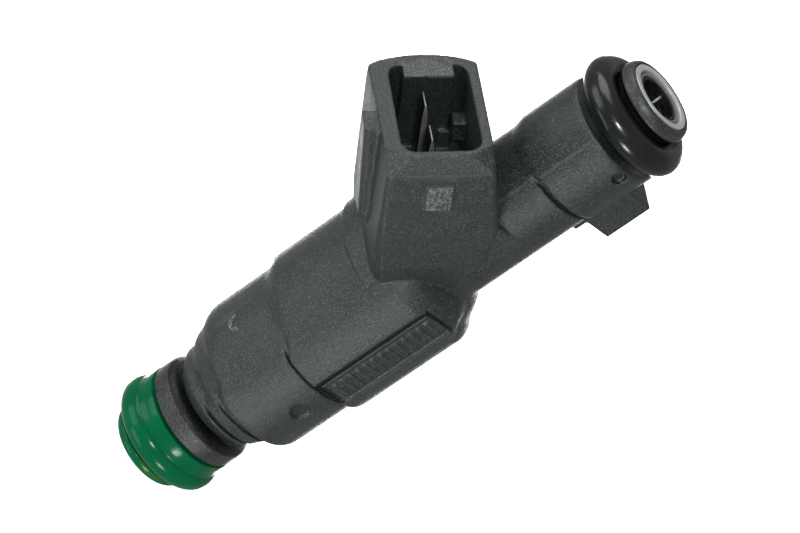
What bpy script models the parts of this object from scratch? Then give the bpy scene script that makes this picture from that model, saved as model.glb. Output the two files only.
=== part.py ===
"""Fuel injector for port injection, built as separate pieces.

Z runs along the injector's axis from the nozzle (z = 0) to the fuel inlet,
the electrical connector leans out towards +X, and +Y is one side of the mould.
Lengths below are in millimetres and are turned into metres by MM.
"""
import math

import bmesh
import bpy
from mathutils import Matrix, Vector

MM = 0.001
MERGE = 1e-6          # welding distance, metres
GAP = 0.3             # clearance left between neighbouring pieces

# Facets round the turned pieces
OUTER_FACETS = 48
RING_FACETS = 32
INNER_FACETS = 24

# Axial layout
NOZZLE_CAP_TOP = 1.42
LOWER_RING_Z = 3.68
SEAL_SPACER_Z = (5.75, 6.9)
LOWER_COLLAR_Z = (7.2, 10.1)
MOULD_Z = (10.4, 68.1)
UPPER_RING_Z = 70.53
INLET_COLLAR_Z = (72.6, 74.3)
INLET_END_Z = 74.3

# Sealing rings, the same standard size on slightly different seats
UPPER_RING_R = 7.3
LOWER_RING_R = 7.22
RING_CORD_R = 1.765

# Plastic rings on the nozzle end
NOZZLE_CAP_R = 5.25
SEAL_SPACER_R = 6.55
LOWER_COLLAR_R = 6.5

# Overmoulded body
NECK_R = 6.45
BARREL_R = 8.7
BLOCK_R = 9.49
STEM_R = 6.2
BAND_R = 6.5
CHAMBER_R = 7.9
CHAMBER_Z = (19.7, 39.3)

# Steel tube that carries the fuel and is the magnet core
TUBE_R = 3.5
TUBE_BORE_R = 2.2
FILTER_BORE_R = 2.95
TUBE_MOUTH_R = 3.3
TUBE_LIP_R = 4.05
CORE_END_Z = 26.9

# Valve group
BODY_R = 3.45
BODY_BORE_R = 2.95
BODY_HEAD_R = 4.6
SEAT_R = 2.65
BALL_R = 1.5
BALL_Z = 4.9
SEAT_CLEARANCE = 0.1
NEEDLE_R = 1.15
NEEDLE_BORE_R = 0.65
ARMATURE_R = 3.6
ARMATURE_Z = (19.2, 26.75)
RUNNING_CLEARANCE = 0.1

# Magnet
BOBBIN_Z = (21.0, 38.0)
BOBBIN_R = 6.7
WINDING_R = (5.6, 6.4)
YOKE_R = (7.0, 7.6)
YOKE_WIDTH = 8.4

# Connector: its own frame has Z out of the mouth and X towards the nozzle
CONNECTOR_TILT = math.radians(46.5)
MOUTH_X = 16.8
MOUTH_Z = 57.3
SOCKET_X = (-4.05, 4.45)
SOCKET_Y = (-6.35, 6.35)
SOCKET_CORNER_R = 1.5
SOCKET_DEPTH = 10.5
BLADE_PITCH = 5.0
BLADE_WIDTH = 2.8
BLADE_THICKNESS = 0.63
BLADE_OFFSET = 0.85
BLADE_TIP_DEPTH = 1.3
LEG_X = 5.5

COLORS = {
    "plastic": ((0.062, 0.071, 0.068, 1.0), 0.55, 0.0),
    "green": ((0.0, 0.122, 0.045, 1.0), 0.25, 0.0),
    "black_rubber": ((0.018, 0.021, 0.020, 1.0), 0.25, 0.0),
    "grey_plastic": ((0.105, 0.098, 0.104, 1.0), 0.5, 0.0),
    "dark_ring": ((0.075, 0.080, 0.080, 1.0), 0.35, 0.2),
    "steel": ((0.42, 0.43, 0.42, 1.0), 0.3, 1.0),
    "tin": ((0.62, 0.62, 0.60, 1.0), 0.25, 1.0),
    "brass": ((0.60, 0.47, 0.22, 1.0), 0.3, 1.0),
    "copper": ((0.55, 0.24, 0.12, 1.0), 0.35, 1.0),
    "mesh": ((0.30, 0.29, 0.25, 1.0), 0.6, 0.3),
    "bobbin": ((0.05, 0.05, 0.05, 1.0), 0.5, 0.0),
}


def clear_scene():
    """Remove whatever the file opened with."""
    for obj in list(bpy.data.objects):
        bpy.data.objects.remove(obj, do_unlink=True)


def new_collection(name):
    collection = bpy.data.collections.new(name)
    bpy.context.scene.collection.children.link(collection)
    return collection


def material(name, color_key):
    """A Principled material with one of the colours above."""
    color, roughness, metallic = COLORS[color_key]
    mat = bpy.data.materials.new(name)
    mat.use_nodes = True
    shader = mat.node_tree.nodes["Principled BSDF"]
    shader.inputs["Base Color"].default_value = color
    shader.inputs["Roughness"].default_value = roughness
    shader.inputs["Metallic"].default_value = metallic
    mat.diffuse_color = color
    return mat


def add_object(name, mesh, collection, color_key=None):
    obj = bpy.data.objects.new(name, mesh)
    collection.objects.link(obj)
    if color_key:
        mesh.materials.append(material(name + "_material", color_key))
    return obj


def shade_round(mesh, angle_deg=35.0):
    mesh.shade_smooth()
    mesh.set_sharp_from_angle(angle=math.radians(angle_deg))


def connector_matrix():
    """Connector frame: X towards the nozzle, Y as the part's, Z out of the mouth."""
    outward = Vector((math.cos(CONNECTOR_TILT), 0.0, math.sin(CONNECTOR_TILT)))
    nozzleward = Vector((math.sin(CONNECTOR_TILT), 0.0, -math.cos(CONNECTOR_TILT)))
    turn = Matrix((nozzleward, Vector((0.0, 1.0, 0.0)), outward)).transposed().to_4x4()
    return Matrix.Translation((MOUTH_X * MM, 0.0, MOUTH_Z * MM)) @ turn


def arc(center, radius, start_deg, end_deg, steps):
    """Points (r, z) along an arc, both ends included."""
    points = []
    for i in range(steps + 1):
        angle = math.radians(start_deg + (end_deg - start_deg) * i / steps)
        points.append((center[0] + radius * math.cos(angle),
                       center[1] + radius * math.sin(angle)))
    return points


def turned(name, profile, collection, color_key, facets=INNER_FACETS):
    """(r, z) outline, running down its outer side, turned about Z.

    The outline closes on itself unless it starts and ends on the axis.
    """
    mesh = bpy.data.meshes.new(name)
    points = [(r * MM, 0.0, z * MM) for r, z in profile]
    edges = [(i, i + 1) for i in range(len(points) - 1)]
    if profile[0][0] > 0.0:
        edges.append((len(points) - 1, 0))
    mesh.from_pydata(points, edges, [])
    obj = add_object(name, mesh, collection, color_key)
    screw = obj.modifiers.new("turn", "SCREW")
    screw.axis = "Z"
    screw.angle = math.tau
    screw.steps = facets
    screw.render_steps = facets
    screw.use_merge_vertices = True
    screw.merge_threshold = MERGE
    screw.use_smooth_shade = True
    return obj


def ring_profile(inner_r, outer_r, z_low, z_high, chamfer=0.0):
    """Outline of a plain ring, with an optional chamfer on its outer edges."""
    if chamfer <= 0.0:
        return [(outer_r, z_high), (outer_r, z_low), (inner_r, z_low), (inner_r, z_high)]
    return [(outer_r - chamfer, z_high), (outer_r, z_high - chamfer),
            (outer_r, z_low + chamfer), (outer_r - chamfer, z_low),
            (inner_r, z_low), (inner_r, z_high)]


def cord_profile(center_r, center_z, cord_r, sides):
    """Round section of a sealing ring, its outer side running down."""
    points = []
    for i in range(sides):
        angle = -math.tau * i / sides
        points.append((center_r + cord_r * math.cos(angle), center_z + cord_r * math.sin(angle)))
    return points


def block(name, low, high, collection, color_key=None, matrix=None):
    """A box between two corners, in millimetres, in the frame of matrix."""
    mesh = bpy.data.meshes.new(name)
    shape = bmesh.new()
    bmesh.ops.create_cube(shape, size=1.0)
    size = [(b - a) * MM for a, b in zip(low, high)]
    middle = [(a + b) / 2 * MM for a, b in zip(low, high)]
    bmesh.ops.scale(shape, vec=size, verts=shape.verts)
    bmesh.ops.translate(shape, vec=middle, verts=shape.verts)
    shape.to_mesh(mesh)
    shape.free()
    obj = add_object(name, mesh, collection, color_key)
    if matrix is not None:
        obj.matrix_world = matrix
    return obj


def cylinder(name, radius, low_z, high_z, collection, facets, matrix=None, color_key=None):
    """A closed cylinder along the Z of matrix."""
    mesh = bpy.data.meshes.new(name)
    shape = bmesh.new()
    bmesh.ops.create_cone(shape, cap_ends=True, cap_tris=False, segments=facets,
                          radius1=radius * MM, radius2=radius * MM,
                          depth=(high_z - low_z) * MM)
    bmesh.ops.translate(shape, vec=(0.0, 0.0, (low_z + high_z) / 2 * MM), verts=shape.verts)
    shape.to_mesh(mesh)
    shape.free()
    obj = add_object(name, mesh, collection, color_key)
    if matrix is not None:
        obj.matrix_world = matrix
    return obj


def loft(name, sections, collection, matrix=None, color_key=None):
    """Closed skin through sections of equal point count, listed from bottom to top.

    Each section runs anticlockwise as seen from its top.
    """
    mesh = bpy.data.meshes.new(name)
    shape = bmesh.new()
    rows = [[shape.verts.new([c * MM for c in point]) for point in section]
            for section in sections]
    count = len(rows[0])
    for lower, upper in zip(rows, rows[1:]):
        for i in range(count):
            j = (i + 1) % count
            shape.faces.new((lower[i], lower[j], upper[j], upper[i]))
    shape.faces.new(list(reversed(rows[0])))
    shape.faces.new(rows[-1])
    shape.to_mesh(mesh)
    shape.free()
    obj = add_object(name, mesh, collection, color_key)
    if matrix is not None:
        obj.matrix_world = matrix
    return obj


def rounded_rectangle(x_low, x_high, y_low, y_high, corner_r, z, steps=3):
    """Rounded rectangle at height z, anticlockwise."""
    centers = [(x_high - corner_r, y_high - corner_r, 0.0),
               (x_low + corner_r, y_high - corner_r, 90.0),
               (x_low + corner_r, y_low + corner_r, 180.0),
               (x_high - corner_r, y_low + corner_r, 270.0)]
    points = []
    for x, y, start in centers:
        for px, py in arc((x, y), corner_r, start, start + 90.0, steps):
            points.append((px, py, z))
    return points


def boolean(obj, other, operation):
    modifier = obj.modifiers.new(operation.lower() + "_" + other.name, "BOOLEAN")
    modifier.object = other
    modifier.operation = operation
    modifier.solver = "EXACT"


def as_tool(obj):
    """Mark an object as a guide for Booleans only."""
    obj.hide_render = True
    obj.display_type = "WIRE"
    return obj


def join(obj, other):
    boolean(obj, as_tool(other), "UNION")


def cut(obj, other):
    boolean(obj, as_tool(other), "DIFFERENCE")


# ---------------------------------------------------------------- moulded body

def mould_profile():
    """Outline of the moulding: outside from the inlet end down, then the cavity up."""
    low, high = MOULD_Z
    edge = 0.5
    outside = [
        (BAND_R - edge, high), (BAND_R, high - edge),
        (BAND_R, 60.4), (STEM_R, 60.2),
        (STEM_R, 43.9), (6.5, 43.3), (7.7, 42.4), (8.24, 41.2), (9.2, 40.2), (BLOCK_R, 39.6),
        (BLOCK_R, 25.9), (9.2, 25.1), (BARREL_R, 24.7),
        (BARREL_R, 17.0), (8.3, 15.6), (7.5, 14.6), (7.1, 13.9), (6.6, 13.5),
        (NECK_R, 12.8), (6.3, 12.0), (5.8, 11.2), (5.25, low),
    ]
    cavity = [
        (BODY_R + GAP, low), (BODY_R + GAP, 17.6),
        (BODY_HEAD_R + GAP, 17.6), (BODY_HEAD_R + GAP, CHAMBER_Z[0]),
        (CHAMBER_R, CHAMBER_Z[0]), (CHAMBER_R, CHAMBER_Z[1]),
        (TUBE_R + GAP, CHAMBER_Z[1]), (TUBE_R + GAP, high),
    ]
    return outside + cavity


def connector_section(depth, x_low, x_high, lean, y_near, y_far, near_cut, bulge):
    """Section of the connector's body: corners cut towards +Y, arched towards -Y.

    near_cut is how far each near corner is cut back along x and along y. The
    nozzle-side wall leans outwards by lean towards -Y.
    """
    z = -depth
    x_lean = x_high + lean
    cut_x, cut_y = near_cut
    points = [(x_high, y_near - cut_y, z), (x_high - cut_x, y_near, z),
              (x_low + cut_x, y_near, z), (x_low, y_near - cut_y, z)]
    corner = 0.5
    arch_steps = 8
    points.append((x_low, -y_far + corner, z))
    for i in range(arch_steps + 1):
        share = 2.0 * i / arch_steps - 1.0
        x = (x_low + x_lean) / 2 + (x_lean - x_low - corner) / 2 * share
        points.append((x, -y_far - bulge * (1.0 - share * share), z))
    points.append((x_lean, -y_far + corner, z))
    return points


def connector_body(tools, frame):
    """The connector's outside, from deep in the barrel up to its rim."""
    sections = [
        connector_section(22.0, -4.0, 5.6, 0.6, 6.0, 5.6, (1.2, 1.4), 0.3),
        connector_section(16.5, -6.0, 6.2, 0.3, 7.7, 6.6, (0.9, 1.0), 0.7),
        connector_section(11.0, -6.7, 6.3, 0.25, 8.2, 6.7, (0.5, 0.6), 1.0),
        connector_section(1.6, -5.35, 6.3, 0.25, 8.4, 6.9, (0.3, 0.4), 1.1),
        connector_section(0.0, -5.2, 6.25, 0.25, 7.1, 6.85, (2.6, 1.5), 1.1),
    ]
    return loft("connector_body", sections, tools, frame)


def guide_rail(tools, frame):
    """Rail along the nozzle-side wall, from just under the rim to its cut-back lower end."""
    rows = []
    for y, bevel in ((0.0, 0.0), (2.55, 0.0), (2.9, 0.35)):
        rows.append([(5.6, y, -0.3), (8.0 - bevel, y, -0.3), (7.45 - bevel, y, -13.2),
                     (6.2, y, -14.5), (5.6, y, -14.5)])
    return loft("guide_rail", rows, tools, frame)


def saddle_tools(tools, frame):
    """What fills in between connector and barrel: a web, a foot and a pad on one side."""
    web = block("web", (0.7, -6.25, 42.0), (6.5, 6.25, 53.4), tools)
    foot = cylinder("foot", 9.86, 37.85, 41.5, tools, OUTER_FACETS)
    limits = block("foot_limits", (3.0, -6.1, 30.0), (12.0, 6.1, 45.0), tools)
    boolean(foot, as_tool(limits), "INTERSECT")
    pad = block("side_pad", (-0.95, 7.9, -6.8), (1.65, 8.62, -3.45), tools, matrix=frame)
    return [web, foot, pad]


def cavity_core(tools):
    """The room for the fuel tube and the coil, which the connector must not fill."""
    profile = [
        (0.0, 80.0), (TUBE_R + GAP, 80.0), (TUBE_R + GAP, CHAMBER_Z[1]),
        (CHAMBER_R, CHAMBER_Z[1]), (CHAMBER_R, 30.0), (0.0, 30.0)]
    return turned("cavity_core", profile, tools, None, OUTER_FACETS)


def socket_tool(tools, frame):
    """The space that the plug enters, less the key on its far wall."""
    socket = loft("socket", [
        rounded_rectangle(*SOCKET_X, *SOCKET_Y, SOCKET_CORNER_R, height)
        for height in (-SOCKET_DEPTH, 2.0)], tools, frame)
    wall = SOCKET_Y[0]
    floor = -SOCKET_DEPTH - 0.5
    key = block("far_key", (-2.6, wall - 0.4, floor), (2.85, wall + 1.75, 3.0), tools, matrix=frame)
    cut(socket, key)
    return socket


def inner_key_tools(tools, frame):
    """Two short keys inside the socket, one on its inlet-side wall and one at its floor."""
    side_wall, far_wall = SOCKET_X[0], SOCKET_Y[0]
    side_key = block("side_key", (side_wall - 0.4, -4.2, -7.6), (side_wall + 1.4, -2.35, -5.0),
                     tools, matrix=frame)
    floor_key = block("floor_key", (-2.9, far_wall + 1.6, -SOCKET_DEPTH - 0.5),
                      (-1.6, far_wall + 2.15, -8.0), tools, matrix=frame)
    return [side_key, floor_key]


def blade_slot_tools(tools, frame):
    """Slots that the two terminals pass through, along the connector and up the stem."""
    half = BLADE_WIDTH / 2 + GAP
    slot_half = BLADE_THICKNESS / 2 + GAP
    slots = []
    for side in (-1, 1):
        y = side * BLADE_PITCH / 2
        slots.append(block(f"blade_slot_{side}", (BLADE_OFFSET - slot_half, y - half, -17.6),
                           (BLADE_OFFSET + slot_half, y + half, -SOCKET_DEPTH + 0.6), tools,
                           matrix=frame))
        slots.append(block(f"leg_slot_{side}", (LEG_X - slot_half, y - half, 39.0),
                           (LEG_X + slot_half, y + half, 47.6), tools))
    return slots


def moulding(parts, tools):
    """The one-piece moulding: barrel, stem, lug and connector shroud."""
    frame = connector_matrix()
    body = turned("overmould_housing", mould_profile(), parts, "plastic", OUTER_FACETS)
    join(body, connector_body(tools, frame))
    join(body, guide_rail(tools, frame))
    for piece in saddle_tools(tools, frame):
        join(body, piece)
    join(body, block("clip_lug", (-10.1, -2.75, 58.3), (-5.0, 2.75, 64.3), tools))
    join(body, block("lug_pad", (-6.7, -2.6, 56.7), (-5.0, 2.6, 67.2), tools))
    cut(body, cavity_core(tools))
    cut(body, socket_tool(tools, frame))
    for key in inner_key_tools(tools, frame):
        join(body, key)
    for tool in blade_slot_tools(tools, frame):
        cut(body, tool)
    cut(body, block("label_recess", (-2.4, 8.75, 25.9), (1.8, 12.0, 40.9), tools))
    return body


# ------------------------------------------------------------------ terminals

def terminal_path():
    """Centre line of a blade in the plane y = 0: bobbin end, bend and tip."""
    frame = connector_matrix()
    tip = frame @ Vector((BLADE_OFFSET * MM, 0.0, -BLADE_TIP_DEPTH * MM))
    outward = Vector((math.cos(CONNECTOR_TILT), 0.0, math.sin(CONNECTOR_TILT)))
    bend = tip - outward * ((tip.x - LEG_X * MM) / outward.x)
    foot = Vector((LEG_X * MM, 0.0, 40.4 * MM))
    return foot, bend, tip


def terminal(name, y, parts):
    """A flat blade: a narrow strip that leans out along the connector."""
    foot, bend, tip = terminal_path()
    outward = (tip - bend).normalized()
    across = Vector((outward.z, 0.0, -outward.x))
    half = BLADE_THICKNESS / 2 * MM
    nose = 0.9 * MM
    nose_width, nose_thickness = 0.82, 0.32
    miter = Vector((1.0, 0.0, -math.tan((math.pi / 2 - CONNECTOR_TILT) / 2)))
    stations = [
        (foot, Vector((1.0, 0.0, 0.0)), 1.0, 1.0),
        (bend, miter, 1.0, 1.0),
        (tip - outward * nose, across, 1.0, 1.0),
        (tip, across, nose_width, nose_thickness),
    ]
    sections = []
    for point, side, width_scale, thickness_scale in stations:
        half_width = BLADE_WIDTH / 2 * width_scale * MM
        offset = side * half * thickness_scale
        corners = ((1, -1), (1, 1), (-1, 1), (-1, -1))
        sections.append([
            tuple((point + offset * a + Vector((0.0, y * MM + half_width * b, 0.0))) / MM)
            for a, b in corners])
    return loft(name, sections, parts, None, "tin")


def lead_wire(name, side, parts):
    """Enamelled lead from the winding, up past the top flange to a terminal's foot."""
    y = side * BLADE_PITCH / 2
    route = [(6.05, y * 0.9, 37.25), (6.05, y * 0.9, 38.2), (5.9, y * 0.95, 39.3), (LEG_X, y, 40.1)]
    curve = bpy.data.curves.new(name, "CURVE")
    curve.dimensions = "3D"
    curve.bevel_depth = 0.15 * MM
    curve.bevel_resolution = 1
    curve.use_fill_caps = True
    spline = curve.splines.new("POLY")
    spline.points.add(len(route) - 1)
    for point, place in zip(spline.points, route):
        point.co = (place[0] * MM, place[1] * MM, place[2] * MM, 1.0)
    obj = bpy.data.objects.new(name, curve)
    parts.objects.link(obj)
    curve.materials.append(material(name + "_material", "copper"))
    return obj


# ------------------------------------------------------------- fuel tube group

def inlet_tube(parts):
    """Drawn steel tube with a flared mouth; its lower end is the magnet's core."""
    edge = 0.12
    profile = [
        (TUBE_LIP_R - edge, INLET_END_Z), (TUBE_LIP_R, INLET_END_Z - edge),
        (TUBE_LIP_R, 73.6), (TUBE_R, 73.1),
        (TUBE_R, CORE_END_Z), (TUBE_BORE_R, CORE_END_Z),
        (TUBE_BORE_R, 60.6), (FILTER_BORE_R, 61.2),
        (FILTER_BORE_R, 73.1), (TUBE_MOUTH_R, 73.45),
        (TUBE_MOUTH_R, INLET_END_Z - edge), (TUBE_MOUTH_R + edge, INLET_END_Z),
    ]
    return turned("inlet_tube", profile, parts, "steel", RING_FACETS)


def inlet_collar(parts):
    """Ring behind the tube's lip that keeps the upper sealing ring on."""
    low, high = INLET_COLLAR_Z
    profile = [
        (4.45, high), (4.7, high - 0.25), (4.9, high - 0.75), (4.97, high - 1.2), (4.85, low),
        (TUBE_R + GAP, low), (TUBE_R + GAP, 72.95), (TUBE_LIP_R + 0.2, 73.4),
        (TUBE_LIP_R + 0.2, high),
    ]
    return turned("inlet_collar", profile, parts, "dark_ring", RING_FACETS)


def sealing_ring(name, outer_r, z, color_key, parts):
    profile = cord_profile(outer_r - RING_CORD_R, z, RING_CORD_R, 12)
    return turned(name, profile, parts, color_key, RING_FACETS)


def filter_pieces(parts, tools):
    """Pressed-in filter: a metal rim, a ribbed frame and the mesh sock inside it."""
    rim = [(3.05, 74.0), (3.05, 73.6), (2.65, 73.15), (2.65, 72.6), (2.2, 72.6), (2.2, 73.3),
           (2.6, 73.7), (2.6, 74.0)]
    turned("filter_rim", rim, parts, "brass")
    frame = turned("filter_frame", ring_profile(2.0, 2.65, 71.5, 72.3), parts, "bobbin")
    join(frame, cylinder("frame_foot", 2.3, 62.0, 62.8, tools, INNER_FACETS))
    for i in range(3):
        turn = Matrix.Rotation(math.tau * i / 3, 4, "Z")
        join(frame, block(f"frame_rib_{i}", (2.0, -0.35, 62.2), (2.5, 0.35, 71.9), tools,
                          matrix=turn))
    turned("filter_mesh", ring_profile(1.6, 1.75, 63.1, 72.3), parts, "mesh")


def adjusting_sleeve(parts, tools):
    """Slit sleeve pressed into the core; its depth sets the spring's load."""
    sleeve = turned("adjusting_sleeve", ring_profile(1.25, 1.9, 35.7, 44.6, 0.15), parts, "brass")
    cut(sleeve, block("sleeve_slit", (0.0, -0.3, 35.0), (3.0, 0.3, 45.0), tools))


def return_spring(parts):
    """Open coil between the armature and the adjusting sleeve."""
    low, high = 24.95, 35.15
    coil_r = 1.5
    turns = 7
    steps = 12
    curve = bpy.data.curves.new("return_spring", "CURVE")
    curve.dimensions = "3D"
    curve.bevel_depth = 0.22 * MM
    curve.bevel_resolution = 2
    curve.use_fill_caps = True
    spline = curve.splines.new("POLY")
    count = turns * steps + 1
    spline.points.add(count - 1)
    for i, point in enumerate(spline.points):
        angle = math.tau * i / steps
        height = low + (high - low) * i / (count - 1)
        point.co = (coil_r * math.cos(angle) * MM, coil_r * math.sin(angle) * MM, height * MM, 1.0)
    obj = bpy.data.objects.new("return_spring", curve)
    parts.objects.link(obj)
    curve.materials.append(material("return_spring_material", "steel"))


# -------------------------------------------------------------- magnet group

def coil(parts):
    low, high = BOBBIN_Z
    flange = 0.8
    inner, outer = 4.9, 5.3
    profile = [
        (BOBBIN_R, high), (BOBBIN_R, high - flange), (outer, high - flange),
        (outer, low + flange), (BOBBIN_R, low + flange), (BOBBIN_R, low), (inner, low),
        (inner, high)]
    return turned("coil_bobbin", profile, parts, "bobbin")


def magnet(parts, tools):
    """Coil, the two flux yokes round it and the ring that breaks the short circuit."""
    bobbin = coil(parts)
    for side in (-1, 1):
        y = side * BLADE_PITCH / 2 * 0.9
        cut(bobbin, block(f"lead_notch_{side}", (5.55, y - 0.5, 37.0), (8.0, y + 0.5, 39.0), tools))
    turned("coil_winding", ring_profile(*WINDING_R, 22.1, 36.9), parts, "copper")
    turned("nonmagnetic_ring", ring_profile(3.9, BODY_HEAD_R, 24.8, 28.4, 0.1), parts, "steel")
    inner, outer = YOKE_R
    yoke_profile = [
        (outer, 39.0), (outer, 20.0), (BODY_HEAD_R + GAP, 20.0), (BODY_HEAD_R + GAP, 20.7),
        (inner, 20.7), (inner, 38.3), (TUBE_R + GAP, 38.3), (TUBE_R + GAP, 39.0)]
    for name, low, high in (("flux_yoke_front", 1.0, 9.0), ("flux_yoke_rear", -9.0, -1.0)):
        yoke = turned(name, yoke_profile, parts, "steel")
        window = block(name + "_window", (-YOKE_WIDTH / 2, low, 19.0),
                       (YOKE_WIDTH / 2, high, 40.0), tools)
        boolean(yoke, as_tool(window), "INTERSECT")


# --------------------------------------------------------------- valve group

def valve_body(parts):
    """Steel tube that holds the seat at one end and guides the armature at the other."""
    bore = ARMATURE_R + RUNNING_CLEARANCE
    profile = [
        (BODY_HEAD_R, 24.5), (BODY_HEAD_R, 17.9), (BODY_R, 17.9), (BODY_R, 0.8),
        (BODY_BORE_R, 0.8), (BODY_BORE_R, 9.0), (2.4, 9.0), (2.4, 18.4), (bore, 18.4),
        (bore, 24.5)]
    return turned("valve_body", profile, parts, "steel")


def valve_seat(parts):
    """Seat with a guide bore, a cone under the ball and the outlet hole."""
    clear_r = BALL_R + SEAT_CLEARANCE
    apex_z = BALL_Z - clear_r * math.sqrt(2.0)
    outlet_r = 0.5
    guide_r = 1.9
    profile = [
        (SEAT_R, 6.6), (SEAT_R, 1.6), (outlet_r, 1.6), (outlet_r, apex_z + outlet_r),
        (guide_r, apex_z + guide_r), (guide_r, 6.6)]
    return turned("valve_seat", profile, parts, "steel")


def spray_plate(parts, tools):
    """Thin disc with four metering holes."""
    plate = cylinder("spray_hole_plate", SEAT_R, 1.0, 1.3, parts, INNER_FACETS, color_key="steel")
    for i in range(4):
        angle = math.tau * (i + 0.5) / 4
        place = Matrix.Translation((0.32 * math.cos(angle) * MM, 0.32 * math.sin(angle) * MM, 0.0))
        cut(plate, cylinder(f"spray_hole_{i}", 0.12, 0.5, 2.0, tools, 8, matrix=place))
    return plate


def needle_group(parts, tools):
    """Armature, hollow needle and ball, which lift together, and their guide."""
    low, high = ARMATURE_Z
    bore, pocket = 1.5, 2.1
    profile = [
        (ARMATURE_R - 0.2, high), (ARMATURE_R, high - 0.2), (ARMATURE_R, low + 0.2),
        (ARMATURE_R - 0.2, low), (bore, low), (bore, 24.6), (pocket, 24.6), (pocket, high)]
    turned("armature", profile, parts, "steel")
    needle = turned("valve_needle", ring_profile(NEEDLE_BORE_R, NEEDLE_R, 6.3, 21.0), parts, "steel")
    crossways = Matrix.Translation((0.0, 0.0, 10.5 * MM)) @ Matrix.Rotation(math.pi / 2, 4, "Y")
    cut(needle, cylinder("needle_port", 0.4, -3.0, 3.0, tools, 10, matrix=crossways))
    mesh = bpy.data.meshes.new("valve_ball")
    shape = bmesh.new()
    bmesh.ops.create_uvsphere(shape, u_segments=INNER_FACETS, v_segments=12, radius=BALL_R * MM)
    bmesh.ops.translate(shape, vec=(0.0, 0.0, BALL_Z * MM), verts=shape.verts)
    shape.to_mesh(mesh)
    shape.free()
    shade_round(mesh)
    add_object("valve_ball", mesh, parts, "steel")
    guide = turned("needle_guide", ring_profile(NEEDLE_R + RUNNING_CLEARANCE, SEAT_R, 7.2, 8.2),
                   parts, "steel")
    for i in range(4):
        turn = Matrix.Rotation(math.tau * i / 4, 4, "Z")
        cut(guide, block(f"guide_notch_{i}", (2.0, -0.6, 7.0), (4.0, 0.6, 8.4), tools, matrix=turn))


def nozzle_end(parts):
    """Collar, seal spacer and cap on the nozzle end."""
    low, high = LOWER_COLLAR_Z
    outer = LOWER_COLLAR_R
    collar = [
        (5.3, high), (5.9, high - 0.12), (6.3, high - 0.45), (outer - 0.02, high - 0.9),
        (outer, low + 0.15), (outer - 0.15, low), (BODY_R + GAP, low), (BODY_R + GAP, high)]
    turned("lower_collar", collar, parts, "grey_plastic", RING_FACETS)
    turned("seal_spacer", ring_profile(BODY_R + GAP, SEAL_SPACER_R, *SEAL_SPACER_Z, 0.1), parts,
           "green", RING_FACETS)
    top, outer = NOZZLE_CAP_TOP, NOZZLE_CAP_R
    cap = [
        (outer, top), (outer, 0.6), (outer - 0.2, 0.2), (outer - 0.6, 0.0), (3.0, 0.0), (3.0, 0.5),
        (BODY_R + GAP, 0.5), (BODY_R + GAP, top)]
    turned("nozzle_cap", cap, parts, "green", RING_FACETS)


def build():
    clear_scene()
    parts = new_collection("fuel_injector")
    tools = new_collection("cutters")
    moulding(parts, tools)
    for label, side in (("front", 1), ("rear", -1)):
        terminal("terminal_" + label, side * BLADE_PITCH / 2, parts)
        lead_wire("coil_lead_" + label, side, parts)
    inlet_tube(parts)
    inlet_collar(parts)
    sealing_ring("upper_o_ring", UPPER_RING_R, UPPER_RING_Z, "black_rubber", parts)
    sealing_ring("lower_o_ring", LOWER_RING_R, LOWER_RING_Z, "green", parts)
    filter_pieces(parts, tools)
    adjusting_sleeve(parts, tools)
    return_spring(parts)
    magnet(parts, tools)
    valve_body(parts)
    valve_seat(parts)
    spray_plate(parts, tools)
    needle_group(parts, tools)
    nozzle_end(parts)


build()
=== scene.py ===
import math

import bmesh
import bpy
from mathutils import Matrix, Quaternion, Vector

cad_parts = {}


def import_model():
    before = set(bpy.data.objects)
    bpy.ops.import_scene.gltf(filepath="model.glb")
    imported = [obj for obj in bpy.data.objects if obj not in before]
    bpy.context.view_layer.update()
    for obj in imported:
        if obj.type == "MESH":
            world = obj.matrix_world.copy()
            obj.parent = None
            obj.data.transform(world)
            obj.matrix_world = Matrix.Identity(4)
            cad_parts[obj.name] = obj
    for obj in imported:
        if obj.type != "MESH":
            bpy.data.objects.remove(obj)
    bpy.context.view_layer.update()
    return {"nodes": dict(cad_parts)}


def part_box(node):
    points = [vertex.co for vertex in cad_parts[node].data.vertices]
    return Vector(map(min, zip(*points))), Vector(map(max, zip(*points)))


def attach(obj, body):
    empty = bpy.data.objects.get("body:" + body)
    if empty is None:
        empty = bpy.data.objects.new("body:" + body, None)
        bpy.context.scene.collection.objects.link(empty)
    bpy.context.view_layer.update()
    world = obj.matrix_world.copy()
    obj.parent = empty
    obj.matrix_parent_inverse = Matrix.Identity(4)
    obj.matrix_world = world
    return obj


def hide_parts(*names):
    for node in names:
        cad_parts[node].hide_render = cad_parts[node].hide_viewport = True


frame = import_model()

# Lengths in this script are millimetres, in the part's own frame: Z runs along the
# injector's axis from the nozzle to the inlet, and the plug socket leans out to +X.
MM = 0.001
BODY = "injector_body"

# Voxel size that the moulding is remeshed with, and its most faces
VOXEL = 0.15
MOULD_FACES = 190000

# Camera: what it looks at, from where, and its lens
TARGET = (0.231, -0.881, 38.085)
DISTANCE = 496.5
AZIMUTH = math.radians(137.3)
ELEVATION = math.radians(24.3088)
ROLL = math.radians(55.63)
LENS = 205.67
SENSOR = 36.0

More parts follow.
